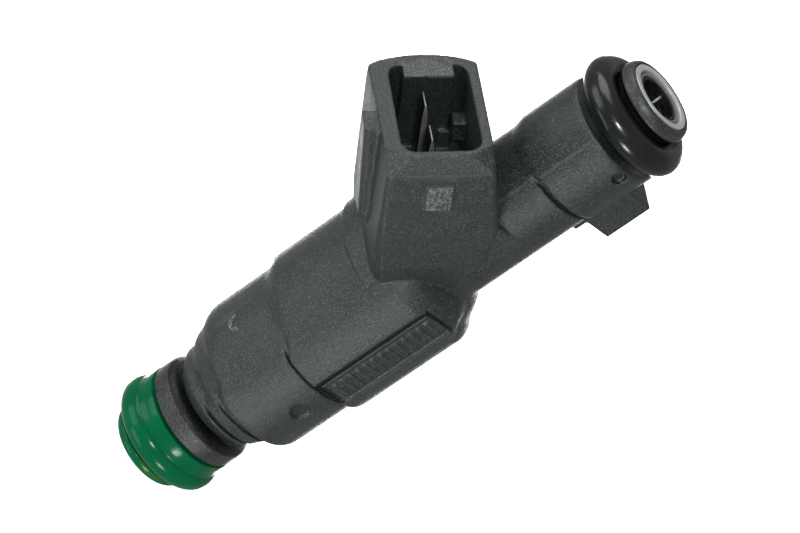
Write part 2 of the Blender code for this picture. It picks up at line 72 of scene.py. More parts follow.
# Softboxes: name, direction in the camera's right, up and back axes, size, power in watts
LIGHT_DISTANCE = 400.0
LIGHTS = (
    ("front", (0.06, 0.04, 1.0), 60.0, 0.84),
    ("flank", (-0.25, -0.85, 0.45), 80.0, 0.84),
    ("upper_left", (-0.75, 0.55, 0.4), 260.0, 0.62),
    ("above", (0.1, 0.95, 0.3), 260.0, 0.90),
    ("behind", (0.1, 0.1, -1.0), 260.0, 1.3),
    ("behind_left", (-0.38, 0.12, -0.92), 320.0, 0.12),
    ("left", (-1.0, -0.25, 0.25), 180.0, 0.32),
)
FLOOR_Z = -60.0
FLOOR_HALF = 3000.0
FLOOR_GLOW = 1.0
AMBIENT = 0.34

# Angles round Z over which the outline turns into its flank and its back version
FLANK_DEGREES = (36.0, 56.0)
BACK_DEGREES = (106.0, 126.0)
BARREL_FACETS = 180

# Moulding: radii of its turned parts, and the hollow for what it holds
NECK_R = 6.42
BARREL_R = 8.70
BLOCK_R = 9.49
STEM_R = 6.20
BAND_R = 6.54
MOULD_END_Z = 68.1
CHAMBER_R = 7.9
CHAMBER_Z = (19.7, 39.3)
CAVITY_LOW_Z = 5.0
HEAD_LOW_Z = 17.6
CAVITY_TOP_Z = 80.0
BODY_CLEAR_R = 3.75
HEAD_CLEAR_R = 4.9
TUBE_CLEAR_R = 3.8

# Plug socket, in its own frame: Z out of the mouth, X towards the nozzle
TILT = math.radians(46.5)
MOUTH = (16.8, 0.0, 57.3)
SOCKET = (-4.05, 4.45, -6.35, 6.35)
SOCKET_CORNER_R = 1.5
SOCKET_DEPTH = 10.5
BLADE_PITCH = 5.0
BLADE_WIDTH = 2.8
BLADE_THICKNESS = 0.63
BLADE_OFFSET = 0.85
BLADE_TIP_DEPTH = 1.3
BLADE_BEVEL = 0.07
SLOT_GAP = 0.2
SLOT_LOW = -17.6
LEG_SLOT_Z = (39.0, 47.6)
LEG_X = 5.5
FOOT_Z = 40.4

# Chisel end of a blade: distance below the tip, share of the width, share of the thickness
BLADE_CHISEL = ((1.5, 1.0, 1.0), (0.6, 0.92, 0.7), (0.0, 0.80, 0.3))

# Sections of the plug shroud: depth, low and high x, lean, +Y side, -Y side,
# the corner cut on the +Y side, and the arch of the -Y side
SHROUD_SECTIONS = (
    (22.0, -4.0, 5.6, 0.6, 6.0, 5.6, (1.2, 1.4), 0.3),
    (16.5, -6.0, 6.2, 0.3, 7.7, 6.6, (0.9, 1.0), 0.7),
    (11.0, -6.7, 6.3, 0.25, 8.2, 6.7, (0.5, 0.6), 1.0),
    (1.6, -5.35, 6.3, 0.25, 8.4, 6.9, (0.3, 0.4), 1.1),
    (0.0, -5.2, 6.25, 0.25, 7.1, 6.85, (2.6, 1.5), 1.1),
)

# Boxes that are joined to the moulding, in the part's frame: lowest and highest corner
WEB = ((0.0, -6.25, 42.0), (6.5, 6.25, 53.4))
CLIP_LUG = ((-10.1, -2.75, 58.3), (-5.0, 2.75, 64.3))
LUG_PAD = ((-6.7, -2.6, 56.7), (-5.0, 2.6, 67.2))
# The raised pad on the shroud's +Y side, in the socket's frame
SIDE_PAD = ((-0.95, 7.6, -6.8), (1.65, 8.62, -3.45))

# Foot of the shroud on the block: radius, z range, and the box that limits it
SHROUD_FOOT = (9.86, 37.85, 41.5)
FOOT_LIMITS = ((3.0, -6.1, 30.0), (12.0, 6.1, 45.0))

# Label panel on the +Y flank: frame, dark lines and field, and the row of plain ribs
PANEL_CUTS = (
    ("label_frame", (-3.3, 9.02, 25.0), (1.95, 12.0, 41.6)),
    ("label_line_side", (1.25, 8.35, 25.35), (1.75, 12.0, 41.45)),
    ("label_line_top", (-3.3, 8.10, 40.90), (1.75, 12.0, 41.45)),
    ("label_line_end", (-2.9, 8.25, 25.35), (1.75, 12.0, 25.85)),
    ("label_field", (-2.85, 8.72, 25.75), (0.85, 12.0, 41.0)),
)
RIB_COUNT = 13
RIB_FIRST_Z = 26.9
RIB_SPAN = 13.0
RIB_HALF = 0.22
RIB_X = (-2.2, 0.2)
RIB_Y = (8.2, 8.93)

# Gate mark: centre, inner and outer radius; ejector marks: x, z, radius, depth in y
GATE = (0.0, 0.64, 21.4)
GATE_R = (0.75, 1.15)
EJECTORS = ((-0.5, 21.4, 1.15, 8.3), (-0.35, 66.9, 0.8, 5.95))

# The moulding's material slots in order, and where the side pad and the key's top are
# painted lighter as painted highlights, in the socket's frame
MOULDING_ZONE_PAINTS = ("housing_plastic", "eroded_plastic_painted_glint", "key_top_painted_highlight", "ejector_mark_painted_shade")
PAD_ZONE = ((-1.1, 8.48, -7.0), (1.8, 20.0, -3.3))
KEY_ZONE = ((-2.6, -6.9, -0.3), (2.9, -4.5, 20.0))

# Fuel tube and inlet filter
TUBE_R = 3.5
TUBE_LOW_Z = 26.9
TUBE_BORE_R = 2.2
FILTER_BORE_R = 2.95
FILTER_STEP_Z = (60.6, 61.2)
FLARE_Z = 73.1
CAGE_R = 2.66
CAGE_Z = (71.5, 73.9)
CAGE_FOOT_Z = (62.0, 62.8)
CAGE_FOOT_R = 2.3
CAGE_RIBS = 3
SPOKE_TURN = math.radians(228.0)

# Plastics: dark and light of the base colour, pale specks that are partly painted glints, and
# where it differs, the grain
PLASTICS = {
    "housing_plastic": dict(
        dark=(0.0092, 0.0136, 0.0122), light=(0.0143, 0.0206, 0.0185),
        speck_and_painted_glint=(0.066, 0.084, 0.078), grain=7000.0, strength=1.0, speck=(0.53, 0.70)),
    # Pad and gate mark: lighter base and brighter specks, partly the eroded texture, partly
    # painted glints
    "eroded_plastic_painted_glint": dict(
        dark=(0.033, 0.0385, 0.0369), light=(0.055, 0.0633, 0.0605),
        speck_and_painted_glint=(0.176, 0.1925, 0.187), grain=4600.0, relief=0.00009, strength=0.9,
        rough=(0.3, 0.46), speck=(0.48, 0.66)),
    # Key top: lighter than the housing, a painted highlight
    "key_top_painted_highlight": dict(
        dark=(0.0198, 0.0237, 0.0226), light=(0.0308, 0.0363, 0.0341),
        speck_and_painted_glint=(0.11, 0.121, 0.1183), grain=4800.0, relief=0.00009, strength=0.9,
        rough=(0.3, 0.46)),
    # Ejector marks: darker than the housing, painted shade in their recesses
    "ejector_mark_painted_shade": dict(
        dark=(0.0055, 0.0066, 0.006), light=(0.0099, 0.0116, 0.011),
        speck_and_painted_glint=(0.0275, 0.0308, 0.0297)),
    "collar_plastic": dict(
        dark=(0.0085, 0.0094, 0.0094), light=(0.0135, 0.0145, 0.0147),
        speck_and_painted_glint=(0.085, 0.088, 0.0885), grain=7000.0, speck=(0.54, 0.70)),
    # Collar's bevelled back: near black, painted shade
    "collar_back_painted_shade": dict(
        dark=(0.0022, 0.0028, 0.0026), light=(0.0044, 0.005, 0.0047),
        speck_and_painted_glint=(0.0165, 0.0182, 0.0176), specular=0.25),
    # Near black: the filter frame's colour, and painted shade on the inlet ring's skirt
    "cage_black_and_painted_shade": dict(
        dark=(0.0022, 0.0028, 0.0028), light=(0.0044, 0.005, 0.005),
        speck_and_painted_glint=(0.0165, 0.0165, 0.0165), specular=0.12),
    "inlet_collar_plastic": dict(
        dark=(0.0165, 0.0198, 0.0187), light=(0.0253, 0.0292, 0.0275),
        speck_and_painted_glint=(0.0468, 0.0523, 0.0495), grain=3600.0, relief=0.00003, strength=0.5,
        rough=(0.4, 0.56)),
    "bobbin_plastic": dict(
        dark=(0.011, 0.011, 0.011), light=(0.0193, 0.0193, 0.0187),
        speck_and_painted_glint=(0.055, 0.055, 0.055)),
}

# Glossy rubber and cap plastic: dark and light, roughness range, tint of olive patches of painted
# reflection, specular level
RUBBERS = {
    "black_rubber": dict(
        dark=(0.0052, 0.0073, 0.0064), light=(0.0088, 0.0113, 0.0101),
        rough=(0.16, 0.28), specular=0.34),
    # Painted shade on the ring's inner slope under the inlet's ring
    "black_rubber_painted_shade": dict(
        dark=(0.001, 0.0014, 0.0013), light=(0.002, 0.0026, 0.0024),
        rough=(0.2, 0.32), specular=0.1),
    "green_rubber": dict(
        dark=(0.0, 0.082, 0.0285), light=(0.0, 0.104, 0.039),
        rough=(0.12, 0.22), painted_reflection_tint=(0.03, 0.108, 0.0055), specular=0.12),
    "cap_plastic": dict(
        dark=(0.0, 0.082, 0.0285), light=(0.0, 0.104, 0.0385),
        rough=(0.14, 0.24), painted_reflection_tint=(0.045, 0.115, 0.0043), specular=0.12),
}

# Metals: dark and light, and where they differ, the roughness range and metallic level
METALS = {
    "tube_steel": dict(
        dark=(0.385, 0.405, 0.395), light=(0.5, 0.525, 0.515), rough=(0.4, 0.55),
        metallic=0.45),
    # Painted shade inside the tube's bore
    "bore_painted_shade": dict(
        dark=(0.012, 0.014, 0.013), light=(0.03, 0.034, 0.032), rough=(0.4, 0.55),
        metallic=0.5),
    "ferrule_metal": dict(
        dark=(0.1136, 0.1207, 0.1172), light=(0.2414, 0.2485, 0.2414), rough=(0.35, 0.5),
        metallic=0.6),
    "ferrule_brass": dict(dark=(0.142, 0.1349, 0.1136), light=(0.2556, 0.2414, 0.1988)),
    # Blade faces darker than tin: painted shade inside the socket
    "blade_tin": dict(
        dark=(0.071, 0.0781, 0.0745), light=(0.1704, 0.1775, 0.1704), rough=(0.26, 0.4)),
    # Blade edges and tips brighter: painted highlight
    "blade_edge_painted_highlight": dict(
        dark=(0.0994, 0.1065, 0.1029), light=(0.213, 0.2201, 0.213), rough=(0.3, 0.46),
        metallic=0.4),
    "valve_steel": dict(dark=(0.213, 0.2201, 0.2201), light=(0.3905, 0.3976, 0.3905)),
    "spring_steel": dict(
        dark=(0.2485, 0.2485, 0.2414), light=(0.426, 0.426, 0.4118), rough=(0.15, 0.3)),
    "magnet_steel": dict(
        dark=(0.1562, 0.1562, 0.1562), light=(0.284, 0.284, 0.2769), rough=(0.3, 0.5)),
}

# Inner CAD nodes that keep their shape, and the material of each
INNER_NODES = {
    "valve_body": "valve_steel",
    "valve_seat": "valve_steel",
    "spray_hole_plate": "valve_steel",
    "needle_guide": "valve_steel",
    "valve_needle": "valve_steel",
    "nonmagnetic_ring": "valve_steel",
    "valve_ball": "spring_steel",
    "return_spring": "spring_steel",
    "armature": "magnet_steel",
    "flux_yoke_front": "magnet_steel",
    "flux_yoke_rear": "magnet_steel",
    "adjusting_sleeve": "ferrule_brass",
    "coil_bobbin": "bobbin_plastic",
    "coil_winding": "winding_wire",
    "coil_lead_front": "lead_wire",
    "coil_lead_rear": "lead_wire_rear",
    "filter_mesh": "filter_cloth",
}


# ------------------------------------------------------------------ mesh helpers

def smooth_step(low, high, value):
    """0 below low, 1 above high, with a smooth rise between."""
    share = min(max((value - low) / (high - low), 0.0), 1.0)
    return share * share * (3.0 - 2.0 * share)


def add_object(name, mesh):
    obj = bpy.data.objects.new(name, mesh)
    bpy.context.scene.collection.objects.link(obj)
    return obj


def mesh_object(name, shape):
    """A new object from a bmesh in millimetres."""
    bmesh.ops.scale(shape, vec=(MM, MM, MM), verts=shape.verts)
    bmesh.ops.recalc_face_normals(shape, faces=shape.faces)
    mesh = bpy.data.meshes.new(name)
    shape.to_mesh(mesh)
    shape.free()
    return add_object(name, mesh)


def shade_round(obj, angle_deg=40.0):
    obj.data.shade_smooth()
    obj.data.set_sharp_from_angle(angle=math.radians(angle_deg))
    return obj


def skin(name, rows, closed=False):
    """Closed surface through rows of points; closed joins the last row to the first."""
    shape = bmesh.new()
    verts = [[shape.verts.new(point) for point in row] for row in rows]
    count = len(rows[0])
    pairs = list(zip(verts, verts[1:]))
    if closed:
        pairs.append((verts[-1], verts[0]))
    for lower, upper in pairs:
        for i in range(count):
            j = (i + 1) % count
            shape.faces.new((lower[i], lower[j], upper[j], upper[i]))
    if not closed:
        shape.faces.new(list(reversed(verts[0])))
        shape.faces.new(verts[-1])
    return mesh_object(name, shape)


def loft(name, sections, matrix):
    """Closed surface through sections that are given in another frame."""
    return skin(name, [[tuple(matrix @ Vector(point)) for point in section]
                       for section in sections])


def turned(name, profile, facets=160):
    """A ring: the closed (r, z) outline turned about Z."""
    rows = []
    for r, z in profile:
        row = [(r * math.cos(math.tau * i / facets), r * math.sin(math.tau * i / facets), z)
               for i in range(facets)]
        rows.append(row)
    return skin(name, rows, closed=True)


def arc(center, radius, start_deg, end_deg, steps):
    """Points along an arc, both ends included."""
    points = []
    for i in range(steps + 1):
        angle = math.radians(start_deg + (end_deg - start_deg) * i / steps)
        points.append((center[0] + radius * math.cos(angle),
                       center[1] + radius * math.sin(angle)))
    return points


def rounded(profile, radius, steps=4):
    """The closed (r, z) outline with its corners rounded, less where a side is short."""
    result = []
    count = len(profile)
    for i in range(count):
        here = Vector(profile[i])
        before = Vector(profile[i - 1]) - here
        after = Vector(profile[(i + 1) % count]) - here
        cut = min(radius, before.length * 0.45, after.length * 0.45)
        start = here + before.normalized() * cut
        end = here + after.normalized() * cut
        for k in range(steps + 1):
            t = k / steps
            result.append(tuple(start * (1 - t) ** 2 + here * 2 * t * (1 - t) + end * t * t))
    return result


def box(name, low, high, matrix=None):
    shape = bmesh.new()
    bmesh.ops.create_cube(shape, size=1.0)
    size = [b - a for a, b in zip(low, high)]
    middle = [(a + b) / 2 for a, b in zip(low, high)]
    bmesh.ops.scale(shape, vec=size, verts=shape.verts)
    bmesh.ops.translate(shape, vec=middle, verts=shape.verts)
    if matrix is not None:
        bmesh.ops.transform(shape, matrix=matrix, verts=shape.verts)
    return mesh_object(name, shape)


def cylinder(name, radius, low_z, high_z, matrix=None, facets=64):
    shape = bmesh.new()
    bmesh.ops.create_cone(shape, cap_ends=True, cap_tris=False, segments=facets,
                          radius1=radius, radius2=radius, depth=high_z - low_z)
    bmesh.ops.translate(shape, vec=(0.0, 0.0, (low_z + high_z) / 2), verts=shape.verts)
    if matrix is not None:
        bmesh.ops.transform(shape, matrix=matrix, verts=shape.verts)
    return mesh_object(name, shape)


def apply_modifiers(obj):
    """Put the modifiers' result into the object's own mesh."""
    graph = bpy.context.evaluated_depsgraph_get()
    mesh = bpy.data.meshes.new_from_object(obj.evaluated_get(graph))
    obj.modifiers.clear()
    obj.data = mesh
    return obj


def combine(obj, tool, operation):
    """Boolean of obj with tool, applied; the tool is removed."""
    modifier = obj.modifiers.new("combine", "BOOLEAN")
    modifier.object = tool
    modifier.operation = operation
    modifier.solver = "EXACT"
    apply_modifiers(obj)
    bpy.data.objects.remove(tool, do_unlink=True)
    return obj


def join(obj, tool):
    return combine(obj, tool, "UNION")


def cut(obj, tool):
    return combine(obj, tool, "DIFFERENCE")


# ------------------------------------------------------------------ materials

class Nodes:
    """Shorthand for wiring one procedural material."""

    def __init__(self, name):
        self.material = bpy.data.materials.new(name)
        self.material.use_nodes = True
        self.tree = self.material.node_tree
        self.shader = self.tree.nodes["Principled BSDF"]
        self.place = self.tree.nodes.new("ShaderNodeTexCoord").outputs["Object"]

    def add(self, kind, **settings):
        node = self.tree.nodes.new(kind)
        for key, value in settings.items():
            setattr(node, key, value)
        return node

    def link(self, source, target):
        self.tree.links.new(source, target)

    def noise(self, scale, detail=2.0, roughness=0.5, stretch=None):
        """Noise at scale features per metre, from 0 to 1."""
        node = self.add("ShaderNodeTexNoise")
        node.inputs["Scale"].default_value = scale
        node.inputs["Detail"].default_value = detail
        node.inputs["Roughness"].default_value = roughness
        source = self.place
        if stretch:
            mapping = self.add("ShaderNodeMapping")
            mapping.inputs["Scale"].default_value = stretch
            self.link(self.place, mapping.inputs["Vector"])
            source = mapping.outputs["Vector"]
        self.link(source, node.inputs["Vector"])
        return node.outputs["Fac"]

    def ramp(self, source, low, high, to_low=0.0, to_high=1.0):
        """source between low and high, mapped to between to_low and to_high."""
        node = self.add("ShaderNodeMapRange")
        for key, value in zip(("From Min", "From Max", "To Min", "To Max"),
                              (low, high, to_low, to_high)):
            node.inputs[key].default_value = value
        self.link(source, node.inputs["Value"])
        return node.outputs["Result"]

    def mix(self, share, first, second):
        """Colour mix; each colour is an (r, g, b) or another node's output."""
        node = self.add("ShaderNodeMix", data_type="RGBA")
        for key, value in (("A", first), ("B", second)):
            socket = [s for s in node.inputs if s.name == key and s.type == "RGBA"][0]
            if isinstance(value, tuple):
                socket.default_value = (*value, 1.0)
            else:
                self.link(value, socket)
        self.link(share, node.inputs["Factor"])
        return [s for s in node.outputs if s.type == "RGBA"][0]

    def math(self, operation, first, second):
        node = self.add("ShaderNodeMath", operation=operation)
        for socket, value in zip(node.inputs, (first, second)):
            if isinstance(value, float):
                socket.default_value = value
            else:
                self.link(value, socket)
        return node.outputs["Value"]

    def edges(self, low, high):
        """0 on flat surface to 1 on outward edges."""
        return self.ramp(self.add("ShaderNodeNewGeometry").outputs["Pointiness"], low, high)

    def bump(self, height, depth, strength, before=None):
        """Bump of a height map whose full range is depth metres."""
        node = self.add("ShaderNodeBump")
        node.inputs["Distance"].default_value = depth
        node.inputs["Strength"].default_value = strength
        self.link(height, node.inputs["Height"])
        if before is not None:
            self.link(before, node.inputs["Normal"])
        return node.outputs["Normal"]

    def finish(self, color, roughness, normal=None, metallic=0.0, **constants):
        self.link(color, self.shader.inputs["Base Color"])
        self.link(roughness, self.shader.inputs["Roughness"])
        if normal is not None:
            self.link(normal, self.shader.inputs["Normal"])
        self.shader.inputs["Metallic"].default_value = metallic
        for key, value in constants.items():
            self.shader.inputs[key.replace("_", " ")].default_value = value
        return self.material


def moulded_plastic(name, dark, light, speck_and_painted_glint, grain=5400.0, relief=0.00007, strength=0.85,
                    rough=(0.32, 0.5), speck=(0.52, 0.70), specular=0.5):
    """Glass-filled plastic: mottled, with fine pale specks that are partly its grain and partly
    painted glints, outward edges painted paler as a painted highlight, and a spark-eroded grain.
    """
    n = Nodes(name)
    clouds = n.ramp(n.noise(110.0, 4.0), 0.35, 0.65)
    color = n.mix(clouds, dark, light)
    mottle = n.ramp(n.noise(grain * 0.62, 2.0, 0.7), 0.36, 0.64)
    color = n.mix(mottle, n.mix(clouds, tuple(c * 0.62 for c in dark), dark), color)
    # Pale specks: partly the plastic's grain, partly painted glints standing in for sparkle from
    # the lights
    specks = n.ramp(n.noise(grain, 1.0, 0.6), speck[0], speck[1])
    color = n.mix(specks, color, speck_and_painted_glint)
    # Outward edges mixed towards the speck colour: a painted highlight on the edges
    color = n.mix(n.ramp(n.edges(0.52, 0.60), 0.0, 1.0, 0.0, 0.35), color, speck_and_painted_glint)
    roughness = n.ramp(n.noise(grain * 0.5, 3.0), 0.3, 0.7, rough[0], rough[1])
    coarse = n.bump(n.noise(1300.0, 2.0), relief, strength * 0.4)
    fine = n.bump(n.noise(grain, 2.0, 0.6), relief, strength, coarse)
    return n.finish(color, roughness, fine, Specular_IOR_Level=specular)


def rubber(name, dark, light, rough=(0.16, 0.3), painted_reflection_tint=None, specular=0.5):
    """Glossy sealing-ring rubber with faint bloom, dust and fine scratches round it; a tint,
    where given, adds olive patches of painted reflection.
    """
    n = Nodes(name)
    color = n.mix(n.ramp(n.noise(300.0, 4.0), 0.35, 0.7), dark, light)
    if painted_reflection_tint:
        # Olive patches: painted reflection on the green rubber
        color = n.mix(n.ramp(n.noise(140.0, 2.0, 0.5, (1.0, 1.0, 2.2)), 0.6, 0.75), color, painted_reflection_tint)
    dust = n.ramp(n.noise(4500.0, 1.0), 0.72, 0.8, 0.0, 0.3)
    color = n.mix(dust, color, (0.2, 0.22, 0.2))
    roughness = n.ramp(n.noise(700.0, 4.0), 0.3, 0.7, rough[0], rough[1])
    normal = n.bump(n.noise(900.0, 3.0, 0.5, (1.0, 1.0, 4.0)), 0.00002, 0.25)
    return n.finish(color, roughness, normal, Specular_IOR_Level=specular)


def metal(name, dark, light, rough=(0.22, 0.42), stretch=(1.0, 1.0, 14.0), relief=0.00001,
          metallic=1.0):
    """Drawn or turned metal with fine tool marks, slight stains and worn edges."""
    n = Nodes(name)
    color = n.mix(n.ramp(n.noise(400.0, 4.0), 0.35, 0.7), dark, light)
    lines = n.noise(700.0, 3.0, 0.6, stretch)
    color = n.mix(n.ramp(lines, 0.45, 0.75, 0.0, 0.4), color, light)
    color = n.mix(n.ramp(n.edges(0.52, 0.62), 0.0, 1.0, 0.0, 0.6), color, light)
    roughness = n.ramp(lines, 0.3, 0.7, rough[0], rough[1])
    return n.finish(color, roughness, n.bump(lines, relief, 0.35), metallic=metallic)


def winding_wire(name):
    """Enamelled copper wire wound side by side round the bobbin."""
    n = Nodes(name)
    wave = n.add("ShaderNodeTexWave", wave_type="BANDS", bands_direction="Z")
    wave.inputs["Scale"].default_value = 1600.0
    n.link(n.place, wave.inputs["Vector"])
    turns = wave.outputs["Fac"]
    color = n.mix(n.ramp(n.noise(500.0), 0.3, 0.7), (0.30, 0.09, 0.03), (0.46, 0.17, 0.06))
    # Darker bands between the turns: painted shade in the grooves between wires
    color = n.mix(n.ramp(turns, 0.0, 0.5), (0.06, 0.02, 0.01), color)
    roughness = n.ramp(n.noise(900.0), 0.3, 0.7, 0.25, 0.4)
    return n.finish(color, roughness, n.bump(turns, 0.00008, 0.8), metallic=0.7)


def filter_cloth(name):
    """Fine woven filter mesh."""
    n = Nodes(name)
    wave = n.add("ShaderNodeTexWave", wave_type="BANDS", bands_direction="Z")
    wave.inputs["Scale"].default_value = 2500.0
    n.link(n.place, wave.inputs["Vector"])
    other = n.add("ShaderNodeTexWave", wave_type="BANDS", bands_direction="DIAGONAL")
    other.inputs["Scale"].default_value = 2500.0
    n.link(n.place, other.inputs["Vector"])
    weave = n.math("MULTIPLY", wave.outputs["Fac"], other.outputs["Fac"])
    color = n.mix(weave, (0.05, 0.05, 0.04), (0.42, 0.40, 0.33))
    roughness = n.ramp(n.noise(1200.0), 0.3, 0.7, 0.45, 0.65)
    return n.finish(color, roughness, n.bump(weave, 0.00005, 0.8), metallic=0.2)


def give(obj, material):
    obj.data.materials.clear()
    obj.data.materials.append(material)
    return obj


def dress(node, material):
    """Give a CAD node's material slots a better material."""
    obj = frame["nodes"][node]
    if not obj.material_slots:
        obj.data.materials.append(material)
    for slot in obj.material_slots:
        slot.material = material


def make_materials():
    """Every material, by name."""
    made = {name: moulded_plastic(name, **look) for name, look in PLASTICS.items()}
    made.update({name: rubber(name, **look) for name, look in RUBBERS.items()})
    made.update({name: metal(name, **look) for name, look in METALS.items()})
    for name in ("winding_wire", "lead_wire", "lead_wire_rear"):
        made[name] = winding_wire(name)
    made["filter_cloth"] = filter_cloth("filter_cloth")
    return made


def paint_where(piece, material, chosen):
    """Give another material to the faces whose centre chosen(radius, z) picks."""
    piece.data.materials.append(material)
    for face in piece.data.polygons:
        x, y, z = face.center / MM
        if chosen(math.hypot(x, y), z):
            face.material_index = 1


def stand_for(obj, slot, *nodes, body=BODY):
    """The piece rides on a body in place of these CAD nodes."""
    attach(obj, body)
    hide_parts(*nodes)


# ------------------------------------------------------------------ moulding

# Outline of the moulding as (r, z), from the nozzle end up, each station three times:
# on the plug's side, where the steps run out softly, on the flanks, and at the back.
OUTLINE = [
    ((5.25, 10.4), (5.25, 10.4), (5.15, 10.4)),
    ((5.95, 11.2), (5.85, 11.1), (5.40, 11.2)),
    ((6.42, 11.9), (6.35, 11.7), (6.05, 11.9)),
    ((6.46, 12.3), (6.50, 12.05), (6.35, 12.5)),
    ((6.48, 12.6), (5.90, 12.10), (NECK_R, 13.0)),
    ((6.50, 12.9), (5.90, 12.60), (NECK_R, 13.4)),
    ((6.60, 13.2), (6.92, 12.65), (6.45, 13.7)),
    ((6.80, 13.5), (7.02, 13.0), (6.60, 13.9)),
    ((7.15, 13.9), (7.30, 13.9), (6.95, 14.15)),
    ((7.40, 14.4), (7.45, 14.15), (7.20, 14.35)),
    ((7.60, 15.0), (6.95, 14.25), (7.50, 14.6)),
    ((7.78, 15.5), (7.00, 14.75), (7.90, 14.9)),
    ((8.02, 16.0), (8.45, 15.30), (8.40, 15.3)),
    ((8.42, 16.6), (8.64, 15.55), (8.66, 15.8)),
    ((8.64, 17.4), (BARREL_R, 16.2), (BARREL_R, 16.6)),
    ((BARREL_R, 18.4), (BARREL_R, 17.0), (BARREL_R, 17.4)),
    ((BARREL_R, 24.9), (BARREL_R, 24.5), (BARREL_R, 24.1)),
    ((8.71, 25.4), (8.66, 24.85), (8.68, 24.3)),
    ((8.76, 25.8), (8.05, 24.90), (BARREL_R, 24.4)),
    ((8.86, 26.2), (8.05, 25.30), (8.80, 24.6)),
    ((9.05, 26.7), (9.32, 25.36), (9.10, 24.9)),
    ((9.25, 27.2), (9.46, 25.5), (9.44, 25.3)),
    ((9.38, 27.8), (BLOCK_R, 25.9), (BLOCK_R, 25.8)),
    ((9.42, 39.3), (BLOCK_R, 39.9), (BLOCK_R, 39.3)),
    ((9.20, 40.2), (9.45, 40.5), (9.2, 39.9)),
    ((8.24, 41.2), (9.12, 41.3), (8.2, 41.0)),
    ((7.70, 42.2), (8.40, 42.3), (7.6, 42.1)),
    ((7.10, 42.9), (7.30, 43.1), (7.1, 42.9)),
    ((6.50, 43.4), (6.45, 43.5), (6.4, 43.3)),
    ((STEM_R, 43.9), (6.22, 44.0), (STEM_R, 43.7)),
    ((STEM_R, 58.8), (6.22, 59.6), (STEM_R, 59.6)),
    ((6.26, 59.1), (5.55, 59.70), (5.6, 59.70)),
    ((6.36, 59.5), (5.55, 60.20), (5.6, 60.20)),
    ((6.46, 59.9), (6.46, 60.25), (6.46, 60.25)),
    ((BAND_R, 60.4), (BAND_R, 60.5), (BAND_R, 60.5)),
    ((BAND_R, 67.5), (BAND_R, 67.5), (BAND_R, 67.5)),
    ((6.42, 68.0), (6.42, 68.0), (6.42, 68.0)),
    ((6.05, MOULD_END_Z), (6.05, MOULD_END_Z), (6.05, MOULD_END_Z)),
]


def outline_at(angle):
    """The outline at an angle round Z, blended between its three versions."""
    turn = abs(math.degrees(math.atan2(math.sin(angle), math.cos(angle))))
    flank = smooth_step(*FLANK_DEGREES, turn)
    back = smooth_step(*BACK_DEGREES, turn)
    points = []
    for plug_side, flank_side, back_side in OUTLINE:
        r = plug_side[0] + (flank_side[0] - plug_side[0]) * flank
        z = plug_side[1] + (flank_side[1] - plug_side[1]) * flank
        r += (back_side[0] - r) * back
        z += (back_side[1] - z) * back
        points.append((r, z))
    return points


def barrel_skin():
    """The turned outside of the moulding, with its steps varying round the axis."""
    rows = [[] for _ in OUTLINE]
    for i in range(BARREL_FACETS):
        angle = math.tau * i / BARREL_FACETS
        for row, (r, z) in zip(rows, outline_at(angle)):
            row.append((r * math.cos(angle), r * math.sin(angle), z))
    return skin("overmould", rows)


def socket_frame():
    """Socket frame: X towards the nozzle, Y as the part's, Z out of the mouth."""
    outward = Vector((math.cos(TILT), 0.0, math.sin(TILT)))
    nozzleward = Vector((math.sin(TILT), 0.0, -math.cos(TILT)))
    turn = Matrix((nozzleward, Vector((0.0, 1.0, 0.0)), outward)).transposed().to_4x4()
    return Matrix.Translation(MOUTH) @ turn


def shroud_section(depth, x_low, x_high, lean, y_near, y_far, near_cut, bulge):
    """Section of the plug shroud: corners cut towards +Y, arched towards -Y."""
    z = -depth
    x_lean = x_high + lean
    cut_x, cut_y = near_cut
    points = [(x_high, y_near - cut_y, z), (x_high - cut_x, y_near, z),
              (x_low + cut_x, y_near, z), (x_low, y_near - cut_y, z)]
    corner = 0.6
    for px, py in arc((x_low + corner, -y_far + corner), corner, 180.0, 250.0, 4):
        points.append((px, py, z))
    arch_steps = 14
    for i in range(1, arch_steps):
        share = 2.0 * i / arch_steps - 1.0
        x = (x_low + x_lean) / 2 + (x_lean - x_low - corner) / 2 * share
        points.append((x, -y_far - bulge * (1.0 - share * share), z))
    for px, py in arc((x_lean - corner, -y_far + corner), corner, 290.0, 360.0, 4):
        points.append((px, py, z))
    return points


def shroud(frame_matrix):
    return loft("shroud", [shroud_section(*sizes) for sizes in SHROUD_SECTIONS], frame_matrix)


def rounded_rectangle(x_low, x_high, y_low, y_high, corner_r, z, steps=8):
    centers = [(x_high - corner_r, y_high - corner_r, 0.0),
               (x_low + corner_r, y_high - corner_r, 90.0),
               (x_low + corner_r, y_low + corner_r, 180.0),
               (x_high - corner_r, y_low + corner_r, 270.0)]
    points = []
    for x, y, start in centers:
        for px, py in arc((x, y), corner_r, start, start + 90.0, steps):
            points.append((px, py, z))
    return points


def socket_space(frame_matrix):
    """The hollow that the plug enters, less the keys that stand in it."""
    past_mouth = 2.0
    sections = [rounded_rectangle(*SOCKET, SOCKET_CORNER_R, z)
                for z in (-SOCKET_DEPTH, past_mouth)]
    hollow = loft("socket", sections, frame_matrix)
    floor = -SOCKET_DEPTH - 0.5
    far_wall, side_wall = SOCKET[2], SOCKET[0]
    for name, low, high in (
            ("far_key", (-2.6, far_wall - 0.4, floor), (2.85, far_wall + 1.75, 3.0)),
            ("side_key", (side_wall - 0.4, -4.2, -7.6), (side_wall + 1.4, -2.35, -5.0)),
            ("floor_key", (-2.9, far_wall + 1.4, floor), (-1.6, far_wall + 2.15, -8.0))):
        cut(hollow, box(name, low, high, frame_matrix))
    return hollow


